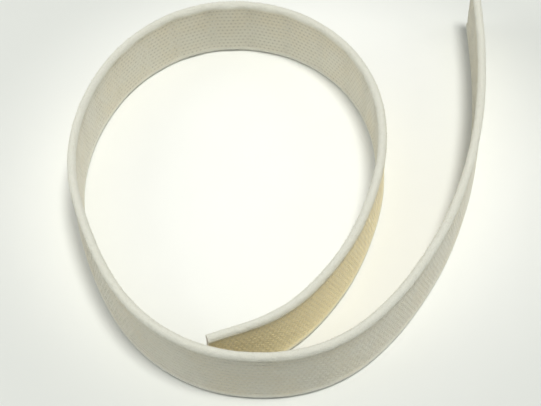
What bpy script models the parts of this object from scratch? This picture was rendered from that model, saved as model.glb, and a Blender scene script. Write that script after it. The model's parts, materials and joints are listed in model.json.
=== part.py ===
"""A martial arts belt: a band of folded cotton, sewn in rows, standing on its long edge in a loose loop.

The belt is built as one is sewn. Plies of canvas lie inside a wrapped cover, and rows of lockstitch
run the whole length through all of it, with one thread on the outer face and one on the inner face
of each row. Every piece is one cross-section carried along the same route.

Frame: +Z up. The belt stands on the plane Z = 0, and the origin is on that plane, under the middle
of the space that the belt takes up. Metres.

In a cross-section, the first coordinate runs out of the loop and the second one runs up.
"""

import math

import bmesh
import bpy
from mathutils import Vector

# The belt as it lies

BELT_WIDTH = 0.040  # its height here, because it stands on an edge
BELT_THICKNESS = 0.0048  # over the soft strip along each edge

# The route of the belt's middle line on the floor, from the inner end to the outer one. The points
# were chosen by hand, and a smooth curve passes through all of them.
ROUTE = [
    (-0.047, -0.1225),
    (-0.011, -0.109),
    (0.015, -0.0855),
    (0.037, -0.050),
    (0.052, -0.003),
    (0.0525, 0.044),
    (0.037, 0.085),
    (0.0075, 0.114),
    (-0.0315, 0.1255),
    (-0.069, 0.1165),
    (-0.1005, 0.0875),
    (-0.120, 0.0425),
    (-0.123, -0.0075),
    (-0.1075, -0.0625),
    (-0.085, -0.102),
    (-0.0535, -0.1265),
    (-0.016, -0.1345),
    (0.019, -0.127),
    (0.0495, -0.103),
    (0.0785, -0.0625),
    (0.099, -0.017),
    (0.112, 0.030),
    (0.1195, 0.0805),
    (0.123, 0.136),
]

# The cover

COVER_CLOTH = 0.0006
SEWN_THICKNESS = 0.0038  # over the cover, where the rows of stitching press the belt flat
EDGE_STRIP = 0.0038  # height of the soft strip that no row crosses, along each edge
STRIP_SLOPE = 0.0005  # height over which the soft strip falls to the sewn part
EDGE_ROUNDING = 0.0015
ROUNDING_STEPS = 3

# The core

PLY_COUNT = 3
CLOTH_GAP = 0.0003  # between one layer and the next
PLY_EDGE_GAP = 0.0010  # from the plies' edges to the inside of the cover
PLY_END_SETBACK = 0.0004  # the plies stop this short of the cover's ends

# The stitching

ROW_COUNT = 12
ROW_MARGIN = 0.0005  # from a strip's slope to the middle of the row beside it
THREAD_WIDTH = 0.0006
THREAD_THICKNESS = 0.0003

# Steps along the route

CURVE_STEPS = 24  # steps of the smooth curve between two points of the route
MOST_TURN = math.radians(12)
MOST_STEP = 0.045

COVER_COLOUR = (0.80, 0.79, 0.70)
CANVAS_COLOUR = (0.74, 0.71, 0.62)
THREAD_COLOUR = (0.86, 0.85, 0.78)

WELD_DISTANCE = 0.00001
SHARP_ANGLE = math.radians(30)


def new_collection(name):
    collection = bpy.data.collections.new(name)
    bpy.context.scene.collection.children.link(collection)
    return collection


def cloth(name, colour, roughness):
    material = bpy.data.materials.new(name)
    material.use_nodes = True
    shader = material.node_tree.nodes["Principled BSDF"]
    shader.inputs["Base Color"].default_value = (*colour, 1)
    shader.inputs["Roughness"].default_value = roughness
    shader.inputs["Metallic"].default_value = 0
    return material


# The route


def smooth_curve(points):
    """A Catmull-Rom curve through all the points."""
    first = points[0] * 2 - points[1]
    last = points[-1] * 2 - points[-2]
    padded = [first, *points, last]
    curve = []
    for before, start, end, after in zip(padded, padded[1:], padded[2:], padded[3:]):
        for step in range(CURVE_STEPS):
            t = step / CURVE_STEPS
            straight = 2 * start + (end - before) * t
            bend = (2 * before - 5 * start + 4 * end - after) * t**2
            twist = (3 * start - before - 3 * end + after) * t**3
            curve.append((straight + bend + twist) / 2)
    return [*curve, points[-1]]


def stations(curve):
    """Points of the curve, with at most MOST_TURN and about MOST_STEP from one to the next."""
    kept = [curve[0]]
    heading = curve[1] - curve[0]
    for here, after in zip(curve[1:], curve[2:]):
        turned = abs(heading.angle_signed(after - here))
        if turned >= MOST_TURN or (here - kept[-1]).length >= MOST_STEP:
            kept.append(here)
            heading = after - here
    return [*kept, curve[-1]]


def shortened(line, cut):
    """The line with the same length cut off both ends."""
    start = line[0] + (line[1] - line[0]).normalized() * cut
    end = line[-1] + (line[-2] - line[-1]).normalized() * cut
    return [start, *line[1:-1], end]


# Cross-sections


def rectangle(middle_out, middle_up, thickness, height):
    out = thickness / 2
    up = height / 2
    corners = [(-out, -up), (-out, up), (out, up), (out, -up)]
    return [(middle_out + x, middle_up + y) for x, y in corners]


def cover_outline():
    """The cover's outside: rounded edges, a soft strip beside each, and the pressed part between."""
    half_width = BELT_WIDTH / 2
    strip_out = BELT_THICKNESS / 2
    strip_foot = half_width - EDGE_STRIP
    quarter = [(SEWN_THICKNESS / 2, strip_foot - STRIP_SLOPE), (strip_out, strip_foot)]
    for step in range(ROUNDING_STEPS + 1):
        angle = math.radians(90) * step / ROUNDING_STEPS
        x = strip_out - EDGE_ROUNDING * (1 - math.cos(angle))
        y = half_width - EDGE_ROUNDING * (1 - math.sin(angle))
        quarter.append((x, y))
    upper = [*quarter, *[(-x, y) for x, y in reversed(quarter)]]
    lower = [(-x, -y) for x, y in upper]
    return [(x, half_width + y) for x, y in reversed([*upper, *lower])]


# Pieces


def drawn_curve(name, dimensions, points, closed):
    curve = bpy.data.curves.new(name, "CURVE")
    curve.dimensions = dimensions
    spline = curve.splines.new("POLY")
    spline.points.add(len(points) - 1)
    for spline_point, (x, y) in zip(spline.points, points):
        spline_point.co = (x, y, 0, 1)
    spline.use_cyclic_u = closed
    return curve


def carried(name, outline, line, material, ends_filled=True):
    """A mesh object whose cross-section is the outline, all along the line."""
    section = bpy.data.objects.new(f"{name}_section", drawn_curve(name, "2D", outline, True))
    section.hide_render = True
    section.display_type = "WIRE"
    guides.objects.link(section)

    path = drawn_curve(name, "3D", line, False)
    path.twist_mode = "Z_UP"
    path.bevel_mode = "OBJECT"
    path.bevel_object = section
    path.use_fill_caps = ends_filled
    sweep = bpy.data.objects.new(f"{name}_path", path)
    guides.objects.link(sweep)

    bpy.context.view_layer.update()
    evaluated = sweep.evaluated_get(bpy.context.evaluated_depsgraph_get())
    mesh = bpy.data.meshes.new_from_object(evaluated)
    mesh.name = name
    bpy.data.objects.remove(sweep)
    welded = bmesh.new()
    welded.from_mesh(mesh)
    bmesh.ops.remove_doubles(welded, verts=welded.verts, dist=WELD_DISTANCE)
    welded.to_mesh(mesh)
    welded.free()

    mesh.materials.clear()
    mesh.materials.append(material)
    mesh.shade_smooth()
    mesh.set_sharp_from_angle(angle=SHARP_ANGLE)
    piece = bpy.data.objects.new(name, mesh)
    parts.objects.link(piece)
    return piece


def make_cover(line, material):
    """The outline's surface, given the cloth's thickness inwards. Both its ends stay open."""
    cover = carried("cover", cover_outline(), line, material, ends_filled=False)
    wall = cover.modifiers.new("cloth", "SOLIDIFY")
    wall.thickness = COVER_CLOTH
    wall.offset = -1
    wall.use_even_offset = True


def make_core(line, material):
    room = SEWN_THICKNESS - 2 * (COVER_CLOTH + CLOTH_GAP)
    ply_thickness = (room - (PLY_COUNT - 1) * CLOTH_GAP) / PLY_COUNT
    ply_height = BELT_WIDTH - 2 * (COVER_CLOTH + PLY_EDGE_GAP)
    ply_line = shortened(line, PLY_END_SETBACK)
    for number in range(PLY_COUNT):
        out = (ply_thickness - room) / 2 + number * (ply_thickness + CLOTH_GAP)
        outline = rectangle(out, BELT_WIDTH / 2, ply_thickness, ply_height)
        carried(f"core_ply_{number + 1}", outline, ply_line, material)


def row_heights():
    """The rows fill the pressed part evenly, from one soft strip to the other."""
    lowest = EDGE_STRIP + STRIP_SLOPE + ROW_MARGIN
    pitch = (BELT_WIDTH - 2 * lowest) / (ROW_COUNT - 1)
    return [lowest + row * pitch for row in range(ROW_COUNT)]


def make_stitching(line, material):
    out = SEWN_THICKNESS / 2 + CLOTH_GAP + THREAD_THICKNESS / 2
    for number, height in enumerate(row_heights(), start=1):
        for face, side in (("outer", 1), ("inner", -1)):
            outline = rectangle(side * out, height, THREAD_THICKNESS, THREAD_WIDTH)
            carried(f"{face}_thread_{number:02d}", outline, line, material)


for leftover in list(bpy.data.objects):
    bpy.data.objects.remove(leftover)
parts = new_collection("martial_arts_belt")
guides = new_collection("guides")
guides.hide_render = True

route = smooth_curve([Vector(point) for point in ROUTE])
belt_line = stations(route)
make_cover(belt_line, cloth("brushed_cotton", COVER_COLOUR, 0.95))
make_core(belt_line, cloth("canvas", CANVAS_COLOUR, 0.95))
make_stitching(belt_line, cloth("thread", THREAD_COLOUR, 0.80))

belt_length = sum((end - start).length for start, end in zip(route, route[1:]))
print(f"the belt is {belt_length * 1000:.0f} mm long, with {len(belt_line)} stations")
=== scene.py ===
# %% [markdown]
# # A martial arts belt
# The belt is a band of folded cotton about a metre long. It stands on its long edge in a loose loop, with
# one end tucked against the inside of the other turn and the other end running away behind it.
#
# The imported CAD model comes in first, as a fixed frame. It says where everything is, in metres, so each
# finished piece below goes exactly where the CAD has the plain one. The box of the CAD model is kept, to
# compare it with the box of the finished one at the end.

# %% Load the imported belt
import json
import math

import bmesh
import bpy
from mathutils import Matrix, Vector

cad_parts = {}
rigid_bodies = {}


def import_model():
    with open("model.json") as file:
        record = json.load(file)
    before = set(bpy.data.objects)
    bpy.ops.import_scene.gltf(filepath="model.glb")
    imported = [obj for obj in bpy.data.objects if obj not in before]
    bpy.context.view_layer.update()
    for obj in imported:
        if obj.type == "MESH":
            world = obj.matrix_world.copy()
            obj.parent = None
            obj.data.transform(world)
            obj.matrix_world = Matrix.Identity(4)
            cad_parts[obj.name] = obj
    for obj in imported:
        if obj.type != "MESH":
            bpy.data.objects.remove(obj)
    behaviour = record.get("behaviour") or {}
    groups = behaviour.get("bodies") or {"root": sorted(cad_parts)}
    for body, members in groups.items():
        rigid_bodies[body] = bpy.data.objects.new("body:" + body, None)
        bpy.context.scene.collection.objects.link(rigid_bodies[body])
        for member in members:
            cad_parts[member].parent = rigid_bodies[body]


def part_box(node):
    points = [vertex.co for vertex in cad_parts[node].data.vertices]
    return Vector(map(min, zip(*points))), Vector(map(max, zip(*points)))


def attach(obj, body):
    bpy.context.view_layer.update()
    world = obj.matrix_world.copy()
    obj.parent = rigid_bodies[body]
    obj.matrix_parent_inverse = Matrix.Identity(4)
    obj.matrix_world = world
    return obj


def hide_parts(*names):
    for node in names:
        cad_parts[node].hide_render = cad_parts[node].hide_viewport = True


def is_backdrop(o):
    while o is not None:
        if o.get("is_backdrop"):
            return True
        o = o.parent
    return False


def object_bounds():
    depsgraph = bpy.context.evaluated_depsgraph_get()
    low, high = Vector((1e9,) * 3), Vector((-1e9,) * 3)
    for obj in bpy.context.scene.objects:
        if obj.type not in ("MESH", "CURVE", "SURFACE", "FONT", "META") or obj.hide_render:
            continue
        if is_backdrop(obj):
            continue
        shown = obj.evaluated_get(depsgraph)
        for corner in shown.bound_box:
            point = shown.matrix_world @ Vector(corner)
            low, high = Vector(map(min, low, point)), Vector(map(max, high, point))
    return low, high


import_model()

cad_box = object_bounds()
cover_low, cover_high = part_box("cover")
print(f"the cover is {1000 * (cover_high.z - cover_low.z):.1f} mm high")

# %% [markdown]
# ## The camera and the light
# The belt is seen from in front and from above, at about 51 degrees, as it looks to somebody who stands at
# a table. A long lens keeps the near side and the far side of the loop about the same size. The camera also
# leans a little to one side, which is a turn about its own axis before it is tipped up.

# %% Camera
CAMERA_PLACE = Vector((-0.0120, -0.48357, 0.59276))
CAMERA_TIP = math.radians(38.92)  # up from looking straight down
CAMERA_LEAN = math.radians(-2.36)
LENS_LENGTH = 86.34  # in millimetres, as the sensor's width is
SENSOR_WIDTH = 36

lens = bpy.data.cameras.new("camera")
lens.lens = LENS_LENGTH
lens.sensor_width = SENSOR_WIDTH
camera = bpy.data.objects.new("camera", lens)
camera.matrix_world = (
    Matrix.Translation(CAMERA_PLACE)
    @ Matrix.Rotation(CAMERA_TIP, 4, "X")
    @ Matrix.Rotation(CAMERA_LEAN, 4, "Z")
)
bpy.context.scene.collection.objects.link(camera)
bpy.context.scene.camera = camera
print(f"the camera looks down at {90 - math.degrees(CAMERA_TIP):.1f} degrees")

# %% [markdown]
# White cotton on a white table is drawn by its shadows. One soft lamp hangs high over the belt, a little to
# the right and a very little in front of it, so the upper edge is bright and the shadows on the table are
# short, soft and fall to the left. It is six metres away, so it lights every part from the same side. A
# wide panel stands low at each side and lifts the faces that look that way, the left one more. The room is
# brighter overhead than level with the table. Much of what reaches the shaded faces has bounced off the
# table or off the belt's own cream cotton, which makes the inside of the loop warmer than the outside.

# %% Light
LAMP_AIM = Vector((0.060, 0.040, 0))
LAMP_PLACE = LAMP_AIM + Vector((0.90, -0.48, 6.0))
LAMP_RADIUS = 0.75
LAMP_POWER = 935
LAMP_BEAM = math.radians(30)
LAMP_COLOUR = (1.0, 0.995, 0.950)
PANEL_OUT = 1.1
PANEL_UP = 0.55
PANEL_SIZE = 0.8
PANEL_POWERS = (("left", -1, 4.2), ("right", 1, 2.1))  # name, which end of the X axis, power
PANEL_COLOUR = (1.0, 0.99, 0.93)
ROOM_COLOUR = (0.98, 0.99, 1.0)
ROOM_LIGHT = 0.48  # straight overhead
WALL_LIGHT = 0.165  # level with the table


def hang(name, kind, place, aim, power, colour):
    """A lamp in its place, turned to its aim."""
    made = bpy.data.lights.new(name, kind)
    made.energy = power
    made.color = colour
    stand = bpy.data.objects.new(name, made)
    stand.location = place
    stand.rotation_euler = (aim - place).to_track_quat("-Z", "Y").to_euler()
    bpy.context.scene.collection.objects.link(stand)
    return made


lamp = hang("soft_lamp", "SPOT", LAMP_PLACE, LAMP_AIM, LAMP_POWER, LAMP_COLOUR)
lamp.shadow_soft_size = LAMP_RADIUS
lamp.spot_size = LAMP_BEAM
lamp.spot_blend = 1.0
for side, end, power in PANEL_POWERS:
    place = Vector((end * PANEL_OUT, 0, PANEL_UP))
    panel = hang(f"{side}_panel", "AREA", place, Vector((0, 0, 0)), power, PANEL_COLOUR)
    panel.size = PANEL_SIZE

room = bpy.data.worlds.new("pale_room")
room.use_nodes = True
sky = room.node_tree
background = sky.nodes["Background"]
background.inputs["Color"].default_value = (*ROOM_COLOUR, 1)
direction = sky.nodes.new("ShaderNodeTexCoord")
axes = sky.nodes.new("ShaderNodeSeparateXYZ")
brightness = sky.nodes.new("ShaderNodeMapRange")
brightness.inputs["To Min"].default_value = WALL_LIGHT
brightness.inputs["To Max"].default_value = ROOM_LIGHT
sky.links.new(direction.outputs["Generated"], axes.inputs[0])
sky.links.new(axes.outputs["Z"], brightness.inputs["Value"])
sky.links.new(brightness.outputs[0], background.inputs["Strength"])
bpy.context.scene.world = room
bpy.context.scene.view_settings.view_transform = "Standard"
print(f"the lamp is {(LAMP_AIM - LAMP_PLACE).length:.2f} m from the belt")

# %% [markdown]
# ## Writing nodes as formulas
# Geometry trees and materials are both made of nodes. Two small helpers keep them short. `node` adds one
# node, sets it and wires its inputs, and a `Number` is a number that nodes work out: plain sums written
# with it add the Math nodes that do them.

# %% Helpers for nodes
def node(tree, kind, inputs=None, **settings):
    """Adds a node. An input is a plain value, a socket or a Number."""
    made = tree.nodes.new(kind)
    for setting, value in settings.items():
        setattr(made, setting, value)
    for name, value in (inputs or {}).items():
        value = value.socket if isinstance(value, Number) else value
        if isinstance(value, bpy.types.NodeSocket):
            tree.links.new(value, made.inputs[name])
        else:
            made.inputs[name].default_value = value
    return made


class Number:
    """A number that a tree works out, for use in formulas."""

    def __init__(self, tree, socket):
        self.tree = tree
        self.socket = socket

    def maths(self, operation, *others):
        made = node(self.tree, "ShaderNodeMath", operation=operation)
        for place, value in enumerate([self, *others]):
            if isinstance(value, Number):
                self.tree.links.new(value.socket, made.inputs[place])
            else:
                made.inputs[place].default_value = value
        return Number(self.tree, made.outputs[0])

    def __add__(self, other):
        return self.maths("ADD", other)

    def __sub__(self, other):
        return self.maths("SUBTRACT", other)

    def __mul__(self, other):
        return self.maths("MULTIPLY", other)

    def __truediv__(self, other):
        return self.maths("DIVIDE", other)

    def __pow__(self, other):
        return self.maths("POWER", other)

    def flipped(self):
        """One minus this."""
        return self * -1 + 1

    def wave(self, length):
        """From 0 to 1 and back in each length, and 1 at zero."""
        return (self * (2 * math.pi / length)).maths("COSINE") * 0.5 + 0.5

    def to_nearest(self, spacing):
        """The distance to the nearest multiple of the spacing."""
        return self.maths("PINGPONG", spacing / 2)

    def fade(self, low, high):
        """0 up to low, 1 from high on, and smooth between them."""
        inputs = {"Value": self, "From Min": low, "From Max": high}
        made = node(self.tree, "ShaderNodeMapRange", inputs, interpolation_type="SMOOTHSTEP")
        return Number(self.tree, made.outputs[0])


def parts_of(tree, vector):
    """The three Numbers in a vector."""
    made = node(tree, "ShaderNodeSeparateXYZ", {0: vector})
    return [Number(tree, made.outputs[axis]) for axis in range(3)]


def scaled(tree, vector, amount):
    """The vector times a number."""
    inputs = {0: vector, "Scale": amount}
    return node(tree, "ShaderNodeVectorMath", inputs, operation="SCALE").outputs[0]


def random_number(tree, least, most, inputs):
    """A number for each point. The node has a pair of ends, and an output, for each kind of value."""
    inputs = {2: least, 3: most, **inputs}
    return node(tree, "FunctionNodeRandomValue", inputs, data_type="FLOAT").outputs[1]


def new_tree(name, sizes):
    """A Geometry Nodes tree with a geometry in and out and the named inputs, and its first node."""
    tree = bpy.data.node_groups.new(name, "GeometryNodeTree")
    tree.interface.new_socket("Geometry", in_out="INPUT", socket_type="NodeSocketGeometry")
    for size, kind in sizes.items():
        tree.interface.new_socket(size, in_out="INPUT", socket_type=f"NodeSocket{kind}")
    tree.interface.new_socket("Geometry", in_out="OUTPUT", socket_type="NodeSocketGeometry")
    return tree, tree.nodes.new("NodeGroupInput")


def finish_tree(tree, start, geometry):
    """Ends the tree: instances become real, and the material is set."""
    real = node(tree, "GeometryNodeRealizeInstances", {"Geometry": geometry})
    smooth = node(tree, "GeometryNodeSetShadeSmooth", {"Geometry": real.outputs[0]})
    inputs = {"Geometry": smooth.outputs[0], "Material": start.outputs["Material"]}
    dressed = node(tree, "GeometryNodeSetMaterial", inputs)
    node(tree, "NodeGroupOutput", {"Geometry": dressed.outputs[0]})


def mesh_of(name, shape):
    """What was built face by face, as a mesh."""
    mesh = bpy.data.meshes.new(name)
    shape.to_mesh(mesh)
    shape.free()
    return mesh


def placed(name, mesh):
    """A finished object at the origin, with this mesh."""
    mesh.name = name
    made = bpy.data.objects.new(name, mesh)
    bpy.context.scene.collection.objects.link(made)
    return made


def mesh_from(source, tree, sizes):
    """The plain mesh that the tree makes from the source with these inputs."""
    modifier = source.modifiers.new(tree.name, "NODES")
    modifier.node_group = tree
    for item in tree.interface.items_tree:
        if item.name in sizes:
            modifier[item.identifier] = sizes[item.name]
    bpy.context.view_layer.update()
    evaluated = source.evaluated_get(bpy.context.evaluated_depsgraph_get())
    mesh = bpy.data.meshes.new_from_object(evaluated)
    source.modifiers.remove(modifier)
    return mesh


# %% [markdown]
# ## The way that the belt lies
# Everything in the belt follows one line on the table: the route of the belt's middle. It is a list of
# points, the same as the CAD belt's, with the same smooth curve through them. A curve object holds
# it, and the trees below carry cross-sections and stitches along it.

# %% Route
ROUTE = [
    (-0.047, -0.1225),
    (-0.011, -0.109),
    (0.015, -0.0855),
    (0.037, -0.050),
    (0.052, -0.003),
    (0.0525, 0.044),
    (0.037, 0.085),
    (0.0075, 0.114),
    (-0.0315, 0.1255),
    (-0.069, 0.1165),
    (-0.1005, 0.0875),
    (-0.120, 0.0425),
    (-0.123, -0.0075),
    (-0.1075, -0.0625),
    (-0.085, -0.102),
    (-0.0535, -0.1265),
    (-0.016, -0.1345),
    (0.019, -0.127),
    (0.0495, -0.103),
    (0.0785, -0.0625),
    (0.099, -0.017),
    (0.112, 0.030),
    (0.1195, 0.0805),
    (0.123, 0.136),
]
CURVE_STEPS = 24  # steps of the smooth curve between two points of the route


def smooth_curve(points):
    """A Catmull-Rom curve through all the points."""
    first = points[0] * 2 - points[1]
    last = points[-1] * 2 - points[-2]
    padded = [first, *points, last]
    curve = []
    for before, start, end, after in zip(padded, padded[1:], padded[2:], padded[3:]):
        for step in range(CURVE_STEPS):
            t = step / CURVE_STEPS
            straight = 2 * start + (end - before) * t
            bend = (2 * before - 5 * start + 4 * end - after) * t**2
            twist = (3 * start - before - 3 * end + after) * t**3
            curve.append((straight + bend + twist) / 2)
    return [*curve, points[-1]]


def guide(name, data):
    """An object that only helps to make the pieces."""
    made = bpy.data.objects.new(name, data)
    guides.objects.link(made)
    return made


def drawn(name, points, closed=False):
    """A curve object with straight steps through the points."""
    curve = bpy.data.curves.new(name, "CURVE")
    curve.dimensions = "3D"
    spline = curve.splines.new("POLY")
    spline.points.add(len(points) - 1)
    for spline_point, point in zip(spline.points, points):
        spline_point.co = (*point, 0, 1)
    spline.use_cyclic_u = closed
    return guide(name, curve)


def length_of(points):
    return sum((end - start).length for start, end in zip(points, points[1:]))


guides = bpy.data.collections.new("guides")
bpy.context.scene.collection.children.link(guides)
middle_line = smooth_curve([Vector(point) for point in ROUTE])
belt_length = length_of(middle_line)
route = drawn("route", middle_line)
print(f"the belt is {1000 * belt_length:.0f} mm long")

# %% [markdown]
# ## The cross-section
# The cover is one strip of brushed cotton wrapped round the canvas inside. Twelve rows of stitching press
# the middle of the belt flat, and no row crosses the strip along each edge, so those strips stay soft and
# stand a little proud. The section is made of points, out from the belt's middle and up: the lower corner
# of the outer face, and then three steps from each row to the next. The upper corner is the lower one
# upside down, and the inner face is the outer one mirrored, so both faces and both edges match.

# %% Cross-section of the cover
BELT_WIDTH = 0.040
EDGE_STRIP = 0.0038
STRIP_OUT = 0.0024  # from the belt's middle to the face of the soft strip
SEWN_OUT = 0.0019  # from there to the face of the sewn part
EDGE_ROUNDING = 0.00235
ROUNDING_STEPS = 4
COVER_CLOTH = 0.0006

ROW_COUNT = 12
FIRST_ROW = 0.0048
ROW_PITCH = (BELT_WIDTH - 2 * FIRST_ROW) / (ROW_COUNT - 1)
LAST_ROW = BELT_WIDTH - FIRST_ROW
POINTS_PER_ROW = 3

# The soft strip above its rounded edge, as points out from the belt's middle and up
STRIP_FULLEST = (STRIP_OUT + 0.00006, EDGE_STRIP * 0.62)
STRIP_SHOULDER = (STRIP_OUT - 0.00008, EDGE_STRIP * 0.88)
STRIP_FOOT = (SEWN_OUT + 0.00012, FIRST_ROW - 0.0004)


def lower_corner():
    """From beside the middle of the lower edge, round the corner and up the soft strip to the first row."""
    corner = []
    for step in range(ROUNDING_STEPS + 1):
        angle = math.radians(90) * step / ROUNDING_STEPS
        out = STRIP_OUT - EDGE_ROUNDING * (1 - math.sin(angle))
        up = EDGE_ROUNDING * (1 - math.cos(angle))
        corner.append((out, up))
    return [*corner, STRIP_FULLEST, STRIP_SHOULDER, STRIP_FOOT]


def cover_section(inset=0):
    """The cover's outline, from the middle of the lower edge up the outer face and down the inner one.

    An inset moves it in by that much on the faces of the soft strips and at both edges.
    """
    corner = lower_corner()
    sewn = [
        (SEWN_OUT, FIRST_ROW + step * ROW_PITCH / POINTS_PER_ROW)
        for step in range((ROW_COUNT - 1) * POINTS_PER_ROW + 1)
    ]
    upper_corner = [(out, BELT_WIDTH - up) for out, up in reversed(corner)]
    outer_face = [*corner, *sewn, *upper_corner]
    inner_face = [(-out, up) for out, up in reversed(outer_face)]
    outline = [(0, 0), *outer_face, (0, BELT_WIDTH), *inner_face]
    half = BELT_WIDTH / 2
    return [
        Vector((out * (1 - inset / STRIP_OUT), half + (up - half) * (1 - inset / half)))
        for out, up in outline
    ]


around = cover_section()
section_length = length_of([*around, around[0]])
print(f"{len(around)} points around the cover, {1000 * section_length:.1f} mm of cloth")

# %% [markdown]
# ## The cover, by Geometry Nodes
# A real cover gets its quilted look from the thread: each row pulls a shallow groove along the belt, and
# each place where the thread dives through makes a small pit. The pits of one row stand halfway between
# those of the next. That is a rule, so a tree can make it. It resamples the route so that a point falls on
# every pit and one between, carries the section along it, stores how far along and how far around each
# corner lies as a UV map in metres, and then moves the surface in by the rule. The cloth also wanders a
# little and has small soft lumps, as cotton that has been handled does, but it lies flat on the table.

# %% Tree that sweeps and quilts the cloth
NEAREST_STITCH = 0.00286  # before a whole number of stitches is fitted to the belt
STITCH_COUNT = round(belt_length / NEAREST_STITCH)
STITCH = belt_length / STITCH_COUNT  # from one pit to the next
GROOVE_DEPTH = 0.00010
PIT_DEPTH = 0.00018
WANDER = 0.00016
WANDER_LENGTH = 0.012
LUMP = 0.00024
LUMP_LENGTH = 0.0036
ROW_REACH = 0.0005  # how far past the outermost rows their grooves reach
UNEVEN_FROM = 0.008  # height above the table from which the cloth wanders in full
SEAM_WELD = 0.000005


def stored(tree, geometry, name, value, kind="FLOAT", domain="POINT"):
    inputs = {"Geometry": geometry, "Name": name, "Value": value}
    made = node(tree, "GeometryNodeStoreNamedAttribute", inputs, data_type=kind, domain=domain)
    return made.outputs[0]


def named(tree, name):
    made = node(tree, "GeometryNodeInputNamedAttribute", {"Name": name}, data_type="FLOAT")
    return Number(tree, made.outputs[0])


def swept_along(tree, start):
    """The section carried along the route, with the UV map and with the section's seam closed."""
    inputs = {"Curve": start.outputs["Geometry"], "Count": start.outputs["Stations"]}
    line = node(tree, "GeometryNodeResampleCurve", inputs, mode="COUNT")
    upright = node(tree, "GeometryNodeSetCurveNormal", {"Curve": line.outputs[0]}, mode="Z_UP")
    run = node(tree, "GeometryNodeSplineParameter").outputs["Length"]
    section = node(tree, "GeometryNodeObjectInfo", {"Object": start.outputs["Section"]})
    inputs = {
        "Curve": stored(tree, upright.outputs[0], "along", run),
        "Profile Curve": stored(tree, section.outputs["Geometry"], "around", run),
        "Fill Caps": start.outputs["Ends filled"],
    }
    swept = node(tree, "GeometryNodeCurveToMesh", inputs)
    outward = node(tree, "GeometryNodeFlipFaces", {"Mesh": swept.outputs[0]})
    place = node(tree, "ShaderNodeCombineXYZ", {0: named(tree, "along"), 1: named(tree, "around")})
    mapped = stored(tree, outward.outputs[0], "cloth", place.outputs[0], "FLOAT2", "CORNER")
    inputs = {"Geometry": mapped, "Distance": SEAM_WELD}
    return node(tree, "GeometryNodeMergeByDistance", inputs).outputs[0]


SWEEP_SIZES = {"Section": "Object", "Stations": "Int", "Ends filled": "Bool", "Material": "Material"}

sweep_tree, start = new_tree("swept cloth", SWEEP_SIZES)
finish_tree(sweep_tree, start, swept_along(sweep_tree, start))

quilt_tree, start = new_tree(
    "quilted cover",
    {
        **SWEEP_SIZES,
        "Stitch": "Float",
        "Row pitch": "Float",
        "First row": "Float",
        "Last row": "Float",
        "Groove depth": "Float",
        "Pit depth": "Float",
        "Wander": "Float",
        "Wander length": "Float",
        "Lump": "Float",
        "Lump length": "Float",
        "Seed": "Float",
    },
)
tube = swept_along(quilt_tree, start)
size = {socket.name: Number(quilt_tree, socket) for socket in start.outputs if socket.type == "VALUE"}
place = node(quilt_tree, "GeometryNodeInputPosition").outputs[0]
height = parts_of(quilt_tree, place)[2]
row = (height - size["First row"]) / size["Row pitch"]
across = row.wave(1)
stitch = named(quilt_tree, "along") / size["Stitch"] + row.maths("ROUND") * 0.5
lengthwise = stitch.wave(1)
above_foot = (height - size["First row"] + ROW_REACH).maths("GREATER_THAN", 0)
below_top = (size["Last row"] - height + ROW_REACH).maths("GREATER_THAN", 0)
pull = across * size["Groove depth"] + across * lengthwise * size["Pit depth"]


def drift(amount, length):
    """Smooth noise, as much out as in, whose features are about the length."""
    inputs = {"Vector": place, "W": size["Seed"], "Scale": size[length] ** -1, "Detail": 2.0}
    noise = node(quilt_tree, "ShaderNodeTexNoise", inputs, noise_dimensions="4D")
    return (Number(quilt_tree, noise.outputs[0]) - 0.5) * 2 * size[amount]


off_the_table = height.fade(0.0, UNEVEN_FROM)
unevenness = drift("Wander", "Wander length") + drift("Lump", "Lump length")
shift = unevenness * off_the_table - pull * above_foot * below_top
normal = node(quilt_tree, "GeometryNodeInputNormal").outputs[0]
offset = scaled(quilt_tree, normal, shift)
quilted = node(quilt_tree, "GeometryNodeSetPosition", {"Geometry": tube, "Offset": offset})
finish_tree(quilt_tree, start, quilted.outputs[0])
print(f"{len(quilt_tree.nodes)} nodes quilt the cover")

# %% [markdown]
# ## The cotton
# The cover is a brushed cotton twill. Close to, it has fine diagonal ribs, half hidden under a short nap
# that scatters light like felt, and it is never quite one colour: natural cotton has faint warm and cool
# patches, dirt and painted shade darken the rows and the stitch pits, the soft strips along the edges are
# rubbed paler, and the outer face of the end that is tucked inside is painted yellow and lighter, partly
# as yellowed cotton and partly as painted light that bounces into the narrow gap there. Each of those is
# a line or two of sums on the UV map, which follows the cloth round the belt, or on the height above the
# table.

# %% Material of the cover
COTTON = (0.720, 0.700, 0.590)
COTTON_WARM = (0.720, 0.675, 0.530)
COTTON_PALE = (0.725, 0.730, 0.655)
COTTON_YELLOWED_AND_PAINTED_LIGHT = (0.990, 0.865, 0.535)
PIT_COLOUR = (0.370, 0.345, 0.275)
YELLOWED_AND_PAINTED_LIGHT_TO = 0.05  # along the belt from its inner end, fully yellowed and painted lighter up to here
YELLOWED_AND_PAINTED_LIGHT_FADE = 0.34  # and not at all from here on
PATCH_SIZE = 0.030
FLECK_SIZE = 0.0011
SPECK_SIZE = 0.0006
# Distances between which a shade or a paler colour fades
PIT_SHADE = (0.00030, 0.00105)  # from the middle of a pit
ROW_SHADE = (0.0001, 0.0007)  # from the middle of a row
ROWS_END = (0.0002, 0.0006)  # beyond the outermost rows
RUBBED = (0.0015, 0.0046)  # from the belt's edge
OUTER_FACE_END = 0.004  # before the middle of the upper edge, measured round the belt
# Sizes and heights of what the bumps draw
TWILL = 0.00062  # from one diagonal rib to the next
RIB_HEIGHT = 0.00006
NAP_SIZE = 0.0004
NAP_HEIGHT = 0.00022
TUFT_SIZE = 0.0022
TUFT_HEIGHT = 0.00080


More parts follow.
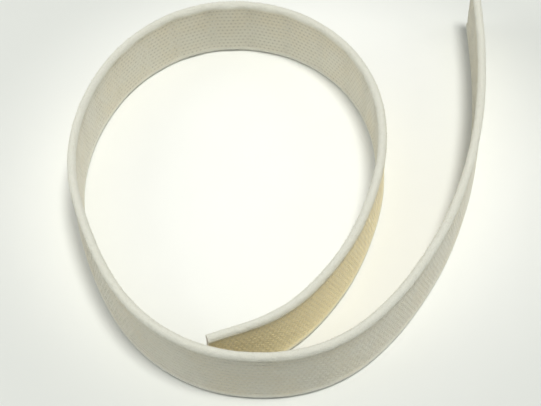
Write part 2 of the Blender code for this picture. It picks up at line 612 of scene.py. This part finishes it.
def fabric(name, sheen=0.0):
    """A new rough material, its tree and its shader. Sheen is the pale glow of loose fibres."""
    material = bpy.data.materials.new(name)
    material.use_nodes = True
    tree = material.node_tree
    shader = tree.nodes["Principled BSDF"]
    shader.inputs["Specular IOR Level"].default_value = 0.15
    shader.inputs["Metallic"].default_value = 0
    shader.inputs["Sheen Weight"].default_value = sheen
    return material, tree, shader


def dress(tree, shader, colour, roughness, bumps=None):
    """Wires what a tree has worked out to its shader."""
    tree.links.new(colour, shader.inputs["Base Color"])
    tree.links.new(roughness.socket, shader.inputs["Roughness"])
    if bumps is not None:
        tree.links.new(bumps, shader.inputs["Normal"])


def mixed(tree, share, first, second):
    """From the first colour to the second one as the share goes from 0 to 1.

    The node has a pair of inputs, and an output, for each kind of value. 6, 7 and 2 are for colours.
    """
    made = node(tree, "ShaderNodeMix", {0: share}, data_type="RGBA")
    for socket, colour in ((made.inputs[6], first), (made.inputs[7], second)):
        if isinstance(colour, tuple):
            socket.default_value = (*colour, 1)
        else:
            tree.links.new(colour, socket)
    return made.outputs[2]


def grain(tree, place, size, detail):
    """Noise whose features are about the size, in metres, from 0 to 1."""
    inputs = {"Vector": place, "Scale": (1 / size, 1 / size, 1 / size)}
    spread = node(tree, "ShaderNodeMapping", inputs)
    inputs = {"Vector": spread.outputs[0], "Scale": 1.0, "Detail": detail, "Roughness": 0.6}
    return Number(tree, node(tree, "ShaderNodeTexNoise", inputs).outputs[0])


def raised(tree, height, distance, under=None, strength=1.0):
    """A bump of that height in metres, on top of another bump."""
    inputs = {"Height": height, "Distance": distance, "Strength": strength}
    if under is not None:
        inputs["Normal"] = under
    return node(tree, "ShaderNodeBump", inputs).outputs[0]


cotton, tree, shader = fabric("brushed_cotton", sheen=0.30)
cloth_place = node(tree, "ShaderNodeUVMap", uv_map="cloth").outputs[0]
along, round_belt, _ = parts_of(tree, cloth_place)
object_place = node(tree, "ShaderNodeTexCoord").outputs["Object"]
height = parts_of(tree, object_place)[2]

over_first_row = (height - FIRST_ROW).fade(-ROWS_END[1], -ROWS_END[0])
under_last_row = (height - LAST_ROW).fade(*ROWS_END).flipped()
sewn_band = over_first_row * under_last_row
row_distance = (height - FIRST_ROW).to_nearest(ROW_PITCH)
row = ((height - FIRST_ROW) / ROW_PITCH).maths("ROUND")
from_pit = (along + row * (STITCH / 2)).to_nearest(STITCH)
pit_distance = (row_distance**2 + from_pit**2) ** 0.5
pit_shade = pit_distance.fade(*PIT_SHADE).flipped() * sewn_band
row_shade = row_distance.fade(*ROW_SHADE).flipped() * sewn_band

patches = grain(tree, cloth_place, PATCH_SIZE, 3.0)
flecks = grain(tree, cloth_place, FLECK_SIZE, 3.0)
specks = grain(tree, cloth_place, SPECK_SIZE, 3.0)
from_middle = (height - BELT_WIDTH / 2).maths("ABSOLUTE")
rubbed = from_middle.fade(BELT_WIDTH / 2 - RUBBED[1], BELT_WIDTH / 2 - RUBBED[0])
outer_face = (round_belt - section_length / 2).fade(-OUTER_FACE_END, 0.0).flipped()
# The outer face of the tucked-in end is painted yellow and lighter: yellowed cotton, and painted light that
# bounces into the narrow gap there.
yellowed_and_painted_light = along.fade(YELLOWED_AND_PAINTED_LIGHT_TO, YELLOWED_AND_PAINTED_LIGHT_FADE).flipped() * outer_face

# Fewer dark specks on the tucked-in end, which is painted lighter there.
speck_strength = yellowed_and_painted_light * -0.18 + 0.22
pit_strength = flecks.fade(0.30, 0.65) * 0.50 + 0.10
stitch_shade = outer_face * -0.7 + 1  # rows and pits are fainter on the outer face, which is stretched

# Each layer is how much of a colour goes on top of the layers before it, from 0 to 1, and the colour.
layers = [
    (patches.fade(0.35, 0.70), COTTON_WARM),
    # yellowed cotton and painted bounce light on the tucked-in end
    (yellowed_and_painted_light * 0.95, COTTON_YELLOWED_AND_PAINTED_LIGHT),
    (rubbed * 0.85, COTTON_PALE),
    (flecks.fade(0.50, 0.75) * 0.35, COTTON_PALE),
    (specks.fade(0.50, 0.70) * speck_strength, PIT_COLOUR),
    # dirt and painted shade in the grooves along the rows and in the stitch pits
    (row_shade * 0.08 * stitch_shade, PIT_COLOUR),
    (pit_shade * pit_strength * stitch_shade, PIT_COLOUR),
]
colour = COTTON
for share, layer_colour in layers:
    colour = mixed(tree, share, colour, layer_colour)

ribs = (along + round_belt).wave(TWILL) * (along - round_belt).wave(TWILL * 2.7)
nap = grain(tree, object_place, NAP_SIZE, 4.0)
tufts = grain(tree, object_place, TUFT_SIZE, 3.0)
bumps = raised(tree, ribs, RIB_HEIGHT, strength=0.6)
bumps = raised(tree, nap, NAP_HEIGHT, bumps, strength=0.8)
bumps = raised(tree, tufts, TUFT_HEIGHT, bumps, strength=0.8)
dress(tree, shader, colour, flecks * 0.12 + 0.86, bumps)
shader.inputs["Sheen Roughness"].default_value = 0.55

# %% [markdown]
# The cover's wall is closed cloth with a real thickness. The quilted tube is its outside. A coarser tube,
# 0.6 mm further in, is its inside, turned so that it faces the hollow, and a ring of faces joins the two
# at each cut end.

# %% Make the cover
INSIDE_STEP = 0.025  # along the belt, on the inside of the cloth
COVER_SHARP_ANGLE = math.radians(60)


def stations_for(step):
    return round(belt_length / step) + 1


def with_closed_seam(points):
    """The first point again at the end, so that the UV map runs on over the last step."""
    return [*points, points[0]]


def for_sweep(points):
    """Out stays out and up stays up: the sweep takes the second number downwards."""
    return [Vector((point.x, -point.y)) for point in points]


outside = drawn("cover_outside", for_sweep(with_closed_seam(around)))
inside = drawn("cover_inside", for_sweep(with_closed_seam(cover_section(COVER_CLOTH))))
outer_mesh = mesh_from(
    route,
    quilt_tree,
    {
        "Section": outside,
        "Stations": 2 * STITCH_COUNT + 1,
        "Stitch": STITCH,
        "Row pitch": ROW_PITCH,
        "First row": FIRST_ROW,
        "Last row": LAST_ROW,
        "Groove depth": GROOVE_DEPTH,
        "Pit depth": PIT_DEPTH,
        "Wander": WANDER,
        "Wander length": WANDER_LENGTH,
        "Lump": LUMP,
        "Lump length": LUMP_LENGTH,
        "Seed": 7.0,
        "Material": cotton,
    },
)
inner_mesh = mesh_from(
    route,
    sweep_tree,
    {"Section": inside, "Stations": stations_for(INSIDE_STEP), "Material": cotton},
)


def faces_outward(mesh):
    """Whether a tube's faces point out of it, from the sign of the volume inside them."""
    volume = 0
    mesh.calc_loop_triangles()
    for triangle in mesh.loop_triangles:
        a, b, c = (mesh.vertices[index].co for index in triangle.vertices)
        volume += a.dot(b.cross(c)) / 6
    return volume > 0


def joined_wall(name, outer, inner):
    """One closed wall from its outside and its inside, which are tubes with the same ends."""
    wall = bmesh.new()
    wall.from_mesh(outer)
    inner.flip_normals()
    wall.from_mesh(inner)
    ends = [edge for edge in wall.edges if edge.is_boundary]
    middle_of = {edge: (edge.verts[0].co + edge.verts[1].co) / 2 for edge in ends}
    start_place = Vector((*middle_line[0], BELT_WIDTH / 2))
    at_start = [edge for edge in ends if (middle_of[edge] - start_place).length < BELT_WIDTH]
    at_finish = [edge for edge in ends if (middle_of[edge] - start_place).length >= BELT_WIDTH]
    for ring in (at_start, at_finish):
        bmesh.ops.bridge_loops(wall, edges=ring)
    print(f"{len(at_start)} and {len(at_finish)} edges bridged at the two cut ends")
    wall.normal_update()
    open_edges = sum(not edge.is_manifold for edge in wall.edges)
    mesh = mesh_of(name, wall)
    mesh.materials.append(cotton)
    print(f"{name}: {len(mesh.polygons)} faces, {open_edges} open edges")
    return mesh


print(f"outer tube faces outward: {faces_outward(outer_mesh)}, inner: {faces_outward(inner_mesh)}")
cover_mesh = joined_wall("brushed_cover", outer_mesh, inner_mesh)
cover_mesh.set_sharp_from_angle(angle=COVER_SHARP_ANGLE)
cover = placed("brushed_cover", cover_mesh)
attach(cover, "root")
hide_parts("cover")

# %% [markdown]
# ## The nap
# Brushing raises a nap: the ends of thousands of cotton fibres, which stand out of the cloth and blur its
# edges. It is thickest along the upper edge, where nothing presses it flat. One fibre is modelled once, as
# a thin bent spike. A tree scatters it over a band of the cover, with the fibres' number, length and lean
# as its inputs, and it runs twice: once for the long fibres of the upper edge and once for the short ones
# on the faces. No fibre grows near the table, so the belt still stands on its cloth.

# %% One fibre
FIBRE_SIDES = 3
FIBRE_RADIUS = 0.060  # as a share of the fibre's length
# How high, how far over to one side, and how full the fibre is there, as shares of its length and radius
FIBRE_RINGS = [(-0.10, 0.0, 1.0), (0.45, 0.08, 0.85)]
FIBRE_TIP = (1.0, 0.35)
SHORTEST_FIBRE = 0.4  # as shares of the length that the tree is given
LONGEST_FIBRE = 1.2


def make_fibre():
    """One fibre of unit length along Z, which the tree makes as short as it should be."""
    shape = bmesh.new()
    rings = []
    for up, over, fullness in FIBRE_RINGS:
        radius = FIBRE_RADIUS * fullness
        ring = []
        for side in range(FIBRE_SIDES):
            angle = 2 * math.pi * side / FIBRE_SIDES
            ring.append(shape.verts.new((over + radius * math.cos(angle), radius * math.sin(angle), up)))
        rings.append(ring)
    tip = shape.verts.new((FIBRE_TIP[1], 0, FIBRE_TIP[0]))
    shape.faces.new(list(reversed(rings[0])))
    for side in range(FIBRE_SIDES):
        other = (side + 1) % FIBRE_SIDES
        shape.faces.new((rings[0][side], rings[0][other], rings[1][other], rings[1][side]))
        shape.faces.new((rings[1][side], rings[1][other], tip))
    bmesh.ops.recalc_face_normals(shape, faces=shape.faces)
    return guide("one_fibre", mesh_of("one_fibre", shape))


one_fibre = make_fibre()
print(f"a fibre has {len(one_fibre.data.polygons)} faces")

# %% Tree that raises the nap
nap_tree, start = new_tree(
    "raised nap",
    {
        "Fibre": "Object",
        "Lowest": "Float",
        "Highest": "Float",
        "Fibres per square metre": "Float",
        "Length": "Float",
        "Lean": "Float",
        "Seed": "Int",
        "Material": "Material",
    },
)
height = parts_of(nap_tree, node(nap_tree, "GeometryNodeInputPosition").outputs[0])[2]
lowest = Number(nap_tree, start.outputs["Lowest"])
highest = Number(nap_tree, start.outputs["Highest"])
in_band = (height - lowest).maths("GREATER_THAN", 0) * (highest - height).maths("GREATER_THAN", 0)
density = in_band * Number(nap_tree, start.outputs["Fibres per square metre"])
inputs = {"Mesh": start.outputs["Geometry"], "Density": density, "Seed": start.outputs["Seed"]}
roots = node(nap_tree, "GeometryNodeDistributePointsOnFaces", inputs, distribute_method="RANDOM")
lean = Number(nap_tree, start.outputs["Lean"])
most = node(nap_tree, "ShaderNodeCombineXYZ", {0: lean, 1: lean, 2: math.pi}).outputs[0]
inputs = {0: scaled(nap_tree, most, -1.0), 1: most, "Seed": start.outputs["Seed"]}
turn = node(nap_tree, "FunctionNodeRandomValue", inputs, data_type="FLOAT_VECTOR").outputs[0]
inputs = {0: roots.outputs["Rotation"], 1: turn}
standing = node(nap_tree, "FunctionNodeRotateRotation", inputs, rotation_space="LOCAL")
length = Number(nap_tree, start.outputs["Length"])
inputs = {"Seed": start.outputs["Seed"]}
grown = random_number(nap_tree, length * SHORTEST_FIBRE, length * LONGEST_FIBRE, inputs)
fibre = node(nap_tree, "GeometryNodeObjectInfo", {"Object": start.outputs["Fibre"]})
inputs = {
    "Points": roots.outputs["Points"],
    "Instance": fibre.outputs["Geometry"],
    "Rotation": standing.outputs[0],
    "Scale": grown,
}
raised_nap = node(nap_tree, "GeometryNodeInstanceOnPoints", inputs)
finish_tree(nap_tree, start, raised_nap.outputs[0])

# %% Raise the nap
NAP_COLOUR = (0.730, 0.735, 0.650)
NAP_TUFT_SIZE = 0.0030
NAP_BANDS = [
    # name, lowest and highest point, fibres per square metre, length, lean
    ("edge_nap", 0.0352, 0.0500, 1300000, 0.00090, 1.1),
    ("face_nap", 0.0030, 0.0352, 200000, 0.00055, 1.2),
]

nap_cotton, tree, shader = fabric("nap", sheen=0.3)
object_place = node(tree, "ShaderNodeTexCoord").outputs["Object"]
tufts = grain(tree, object_place, NAP_TUFT_SIZE, 2.0)
colour = mixed(tree, tufts.fade(0.35, 0.65), COTTON_WARM, NAP_COLOUR)
dress(tree, shader, colour, tufts * 0.1 + 0.85)

ground = guide("nap_ground", outer_mesh)
for seed, (name, low, high, count, length, lean) in enumerate(NAP_BANDS):
    mesh = mesh_from(
        ground,
        nap_tree,
        {
            "Fibre": one_fibre,
            "Lowest": low,
            "Highest": high,
            "Fibres per square metre": count,
            "Length": length,
            "Lean": lean,
            "Seed": seed,
            "Material": nap_cotton,
        },
    )
    fibres = placed(name, mesh)
    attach(fibres, "root")
    mesh.calc_loop_triangles()
    print(f"{name}: {len(mesh.loop_triangles)} triangles")

# %% [markdown]
# ## The plies inside
# Three plies of canvas fill the cover. They show only at the two cut ends, as thin layers a little pinker
# than the cover. They are pressed flat where the rows cross them, and swell a little in the soft strips.

# %% Canvas
CANVAS = (0.860, 0.800, 0.740)
CANVAS_DARK = (0.760, 0.700, 0.640)
CANVAS_WEAVE = 0.0005  # from one thread of the canvas to the next
CANVAS_WEAVE_HEIGHT = 0.00005
CANVAS_FIBRE = 0.0003
CANVAS_FIBRE_HEIGHT = 0.00008
PLY_COUNT = 3
PLY_GAP = 0.00005
PLY_EDGE = 0.0016  # from the belt's edge to the ply's
PLY_SETBACK = 0.0001  # the plies stop this short of the cover's ends
PLY_STEP = 0.008
PLY_SHARP_ANGLE = math.radians(50)
# How far from the ply's edge, and how much fuller than in the sewn part
PLY_LEVELS = [(0.0, 0.80), (0.0006, 1.05), (0.0020, 1.22), (0.0034, 1.0)]

canvas, tree, shader = fabric("canvas", sheen=0.1)
canvas_place = node(tree, "ShaderNodeUVMap", uv_map="cloth").outputs[0]
along, across, _ = parts_of(tree, canvas_place)
object_place = node(tree, "ShaderNodeTexCoord").outputs["Object"]
weave = along.wave(CANVAS_WEAVE) * across.wave(CANVAS_WEAVE)
threads = grain(tree, object_place, CANVAS_FIBRE, 4.0)
colour = mixed(tree, threads.fade(0.35, 0.65), CANVAS_DARK, CANVAS)
bumps = raised(tree, weave, CANVAS_WEAVE_HEIGHT)
bumps = raised(tree, threads, CANVAS_FIBRE_HEIGHT, bumps)
dress(tree, shader, colour, threads * 0.1 + 0.85, bumps)


def ply_section(number):
    """One ply in cross-section: flat in the sewn part, thicker in the soft strips."""
    room = 2 * SEWN_OUT * (1 - COVER_CLOTH / STRIP_OUT) - PLY_GAP * 2
    thickness = (room - (PLY_COUNT - 1) * PLY_GAP) / PLY_COUNT
    out = (thickness - room) / 2 + number * (thickness + PLY_GAP)
    lower = [(PLY_EDGE + up, swell) for up, swell in PLY_LEVELS]
    upper = [(BELT_WIDTH - up, swell) for up, swell in reversed(lower)]
    outward = [Vector(((out + thickness / 2) * swell, up)) for up, swell in [*lower, *upper]]
    inward = [Vector(((out - thickness / 2) * swell, up)) for up, swell in [*lower, *upper]]
    return [*outward, *reversed(inward)]


def shortened(line, cut):
    """The line with the same length cut off both ends."""
    start = line[0] + (line[1] - line[0]).normalized() * cut
    end = line[-1] + (line[-2] - line[-1]).normalized() * cut
    return [start, *line[1:-1], end]


ply_route = drawn("ply_route", shortened(middle_line, PLY_SETBACK))
for number in range(PLY_COUNT):
    section = drawn(f"ply_section_{number + 1}", for_sweep(ply_section(number)), closed=True)
    mesh = mesh_from(
        ply_route,
        sweep_tree,
        {"Section": section, "Stations": stations_for(PLY_STEP), "Ends filled": True, "Material": canvas},
    )
    mesh.set_sharp_from_angle(angle=PLY_SHARP_ANGLE)
    ply = placed(f"canvas_ply_{number + 1}", mesh)
    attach(ply, "root")
    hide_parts(f"core_ply_{number + 1}")
    print(f"{ply.name}: {len(mesh.polygons)} faces, faces outward: {faces_outward(mesh)}")

# %% [markdown]
# ## The stitching
# A lockstitch is a row of separate short lengths of thread on each face. Each one comes up out of a pit,
# lies along the row and dives into the next pit. One stitch is modelled once: a thread with six sides
# whose ends bend down. A tree then sets it at every place along the row, and gives each one its own small
# turn and size, because the needle never lands twice alike. Every other row starts half a stitch later and
# has one stitch less. Near the tucked-in end, the thread on the outer face is painted yellow and lighter
# with the cloth under it, partly as yellowed cotton and partly as painted bounce light, so the tree hands
# that share to the material. The same tree makes all 24 rows, 12 on each face.

# %% Thread
THREAD = (0.760, 0.750, 0.665)
THREAD_SHADE = (0.680, 0.665, 0.575)
TWIST = 0.0009  # length of thread in which a strand goes once round
STRAND_HEIGHT = 0.00010
THREAD_FIBRE = 0.0002
THREAD_FIBRE_HEIGHT = 0.00008
THREAD_PATCH = 0.004

thread, tree, shader = fabric("cotton_thread", sheen=0.15)
thread_place = node(tree, "ShaderNodeUVMap", uv_map="twist").outputs[0]
along, turn, _ = parts_of(tree, thread_place)
object_place = node(tree, "ShaderNodeTexCoord").outputs["Object"]
strands = (along / TWIST + turn * 2).wave(1)
fibres = grain(tree, object_place, THREAD_FIBRE, 3.0)
shades = grain(tree, object_place, THREAD_PATCH, 2.0)
colour = mixed(tree, strands.fade(0.1, 0.6), THREAD_SHADE, THREAD)
colour = mixed(tree, shades.fade(0.4, 0.7) * 0.4, colour, COTTON_WARM)
# Near the tucked-in end the outer threads take the same yellow and painted light as the cloth.
age = node(tree, "ShaderNodeAttribute", attribute_name="age").outputs["Fac"]
colour = mixed(tree, age, colour, COTTON_YELLOWED_AND_PAINTED_LIGHT)
bumps = raised(tree, strands, STRAND_HEIGHT)
bumps = raised(tree, fibres, THREAD_FIBRE_HEIGHT, bumps)
dress(tree, shader, colour, fibres * 0.15 + 0.62, bumps)

# %% One stitch
STITCH_SIDES = 6
THREAD_HALF_WIDTH = 0.00028
THREAD_HALF_THICKNESS = 0.00018
# How far along the stitch from its middle, how far out, and how full the thread is there
STITCH_RINGS = [
    (-0.00128, -0.00042, 0.60),
    (-0.00072, -0.00002, 1.00),
    (0.00072, -0.00002, 1.00),
    (0.00128, -0.00042, 0.60),
]


def make_stitch():
    """One stitch along X, with Y across it and Z away from the cloth."""
    shape = bmesh.new()
    twist = shape.loops.layers.uv.new("twist")
    rings = []
    for along, out, fullness in STITCH_RINGS:
        ring = []
        for side in range(STITCH_SIDES):
            angle = 2 * math.pi * side / STITCH_SIDES
            y = THREAD_HALF_WIDTH * fullness * math.cos(angle)
            z = out + THREAD_HALF_THICKNESS * fullness * math.sin(angle)
            ring.append(shape.verts.new((along, y, z)))
        rings.append(ring)
    for number, (ring, after) in enumerate(zip(rings, rings[1:])):
        for side in range(STITCH_SIDES):
            other = (side + 1) % STITCH_SIDES
            face = shape.faces.new((ring[side], ring[other], after[other], after[side]))
            ends = (STITCH_RINGS[number][0], STITCH_RINGS[number + 1][0])
            turns = (side / STITCH_SIDES, (side + 1) / STITCH_SIDES)
            corners = [(ends[0], turns[0]), (ends[0], turns[1]), (ends[1], turns[1]), (ends[1], turns[0])]
            for loop, corner in zip(face.loops, corners):
                loop[twist].uv = corner
    shape.faces.new(list(reversed(rings[0])))
    shape.faces.new(rings[-1])
    bmesh.ops.recalc_face_normals(shape, faces=shape.faces)
    return guide("one_stitch", mesh_of("one_stitch", shape))


one_stitch = make_stitch()
print(f"a stitch has {len(one_stitch.data.polygons)} faces")

# %% Tree that sews a row
row_tree, start = new_tree(
    "row of stitches",
    {
        "Stitch": "Object",
        "Count": "Int",
        "End margin": "Float",
        "Height": "Float",
        "Out": "Float",
        "Side": "Float",
        "Unevenness": "Float",
        "Seed": "Int",
        "Material": "Material",
    },
)
run = node(row_tree, "GeometryNodeCurveLength", {"Curve": start.outputs["Geometry"]}).outputs[0]
last_middle = Number(row_tree, run) - Number(row_tree, start.outputs["End margin"])
# The node's start and end as lengths are its inputs 4 and 5. The two before them are shares.
inputs = {"Curve": start.outputs["Geometry"], 4: start.outputs["End margin"], 5: last_middle}
trimmed = node(row_tree, "GeometryNodeTrimCurve", inputs, mode="LENGTH")
inputs = {"Curve": trimmed.outputs[0], "Count": start.outputs["Count"]}
places = node(row_tree, "GeometryNodeResampleCurve", inputs, mode="COUNT")
forward = node(row_tree, "GeometryNodeInputTangent").outputs[0]
inputs = {0: forward, 1: (0, 0, 1)}
outward = node(row_tree, "ShaderNodeVectorMath", inputs, operation="CROSS_PRODUCT").outputs[0]
side = Number(row_tree, start.outputs["Side"])
from_end = Number(row_tree, node(row_tree, "GeometryNodeSplineParameter").outputs["Length"])
# How much yellow and painted bounce light the thread takes, near the tucked-in end of the outer face.
age = from_end.fade(YELLOWED_AND_PAINTED_LIGHT_TO, YELLOWED_AND_PAINTED_LIGHT_FADE).flipped() * side.fade(0.0, 1.0)
sideways = scaled(row_tree, outward, side * Number(row_tree, start.outputs["Out"]))
upward = node(row_tree, "ShaderNodeCombineXYZ", {2: start.outputs["Height"]}).outputs[0]
inputs = {0: sideways, 1: upward}
offset = node(row_tree, "ShaderNodeVectorMath", inputs, operation="ADD").outputs[0]
inputs = {"Primary Axis": scaled(row_tree, outward, side), "Secondary Axis": forward}
facing = node(row_tree, "FunctionNodeAxesToRotation", inputs, primary_axis="Z", secondary_axis="X")
# The share of yellow and painted light, and the turn, come from the place on the belt's middle line, so
# they are stored before the move.
with_yellowing_and_painted_light = stored(row_tree, places.outputs[0], "age", age)
facing_stored = stored(row_tree, with_yellowing_and_painted_light, "facing", facing.outputs[0], "QUATERNION")
inputs = {"Geometry": facing_stored, "Offset": offset}
moved = node(row_tree, "GeometryNodeSetPosition", inputs)
uneven = Number(row_tree, start.outputs["Unevenness"])
lean = random_number(row_tree, uneven * -1, uneven, {"Seed": start.outputs["Seed"]})
lean_turn = node(row_tree, "ShaderNodeCombineXYZ", {2: lean}).outputs[0]
facing_read = node(row_tree, "GeometryNodeInputNamedAttribute", {"Name": "facing"}, data_type="QUATERNION")
inputs = {0: facing_read.outputs[0], 1: lean_turn}
turned = node(row_tree, "FunctionNodeRotateRotation", inputs, rotation_space="LOCAL")
inputs = {"ID": node(row_tree, "GeometryNodeInputIndex").outputs[0]}
plump = random_number(row_tree, uneven * -1 + 1, uneven + 1, inputs)
stitch_shape = node(row_tree, "GeometryNodeObjectInfo", {"Object": start.outputs["Stitch"]})
inputs = {
    "Points": moved.outputs[0],
    "Instance": stitch_shape.outputs["Geometry"],
    "Rotation": turned.outputs[0],
    "Scale": plump,
}
sewn = node(row_tree, "GeometryNodeInstanceOnPoints", inputs)
finish_tree(row_tree, start, sewn.outputs[0])
print(f"{len(row_tree.nodes)} nodes sew a row")

# %% Sew the rows
STITCH_OUT = 0.00184  # from the belt's middle to the middle of the thread
UNEVENNESS = 0.09  # most turn in radians, and most change of size as a share

for row in range(ROW_COUNT):
    for face, side in (("outer", 1.0), ("inner", -1.0)):
        mesh = mesh_from(
            route,
            row_tree,
            {
                "Stitch": one_stitch,
                "Count": STITCH_COUNT - row % 2,
                "End margin": STITCH / 2 * (1 + row % 2),
                "Height": FIRST_ROW + row * ROW_PITCH,
                "Out": STITCH_OUT,
                "Side": side,
                "Unevenness": UNEVENNESS,
                "Seed": 2 * row + (face == "inner"),
                "Material": thread,
            },
        )
        stitches = placed(f"{face}_stitches_{row + 1:02d}", mesh)
        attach(stitches, "root")
        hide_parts(f"{face}_thread_{row + 1:02d}")
print(f"{STITCH_COUNT} stitches in a row, or one less, with {len(mesh.polygons)} faces in the last one")

# %% [markdown]
# ## The table
# The floor is plain and nearly white, with a trace of its own unevenness. A pool of light is painted on it,
# so it is painted a little darker outside the belt's loop than inside it, and otherwise it takes only the
# soft shadows.

# %% Floor
FLOOR = (0.92, 0.93, 0.90)
FLOOR_OUTSIDE_PAINTED_POOL = (0.680, 0.700, 0.675)
PAINTED_POOL_MIDDLE = (0.0, 0.02, 0)
PAINTED_POOL_FADE = (0.10, 0.21)  # how far from the middle of the painted pool of light the table is painted darker
FLOOR_PATCH = 0.05
FLOOR_SHADE = tuple(part * 0.99 for part in FLOOR)
TABLE_REACH = 3  # from the belt to the table's edges

floor_material, tree, shader = fabric("pale_table")
floor_place = node(tree, "ShaderNodeTexCoord").outputs["Object"]
patches = grain(tree, floor_place, FLOOR_PATCH, 2.0)
# A pool of light is painted on the table: the paint is darker away from the pool's middle.
from_middle = node(tree, "ShaderNodeVectorMath", {0: floor_place, 1: PAINTED_POOL_MIDDLE}, operation="DISTANCE")
outside_painted_pool = Number(tree, from_middle.outputs["Value"]).fade(*PAINTED_POOL_FADE)
colour = mixed(tree, patches.fade(0.3, 0.7), FLOOR, FLOOR_SHADE)
colour = mixed(tree, outside_painted_pool, colour, FLOOR_OUTSIDE_PAINTED_POOL)
tree.links.new(colour, shader.inputs["Base Color"])
shader.inputs["Roughness"].default_value = 0.9

floor_shape = bmesh.new()
bmesh.ops.create_grid(floor_shape, x_segments=1, y_segments=1, size=TABLE_REACH)
floor_mesh = mesh_of("table_top", floor_shape)
floor_mesh.materials.append(floor_material)
floor = placed("table_top", floor_mesh)
floor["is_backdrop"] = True

# %% [markdown]
# ## Finish
# The guides were only for making the pieces.

# %% Sizes of the boxes
for leftover in list(guides.objects):
    bpy.data.objects.remove(leftover)
bpy.data.collections.remove(guides)
bpy.context.view_layer.update()

visual_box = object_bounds()
for name, (low, high) in (("CAD", cad_box), ("visual", visual_box)):
    print(f"{name} box: {[round(1000 * side, 1) for side in high - low]} mm")
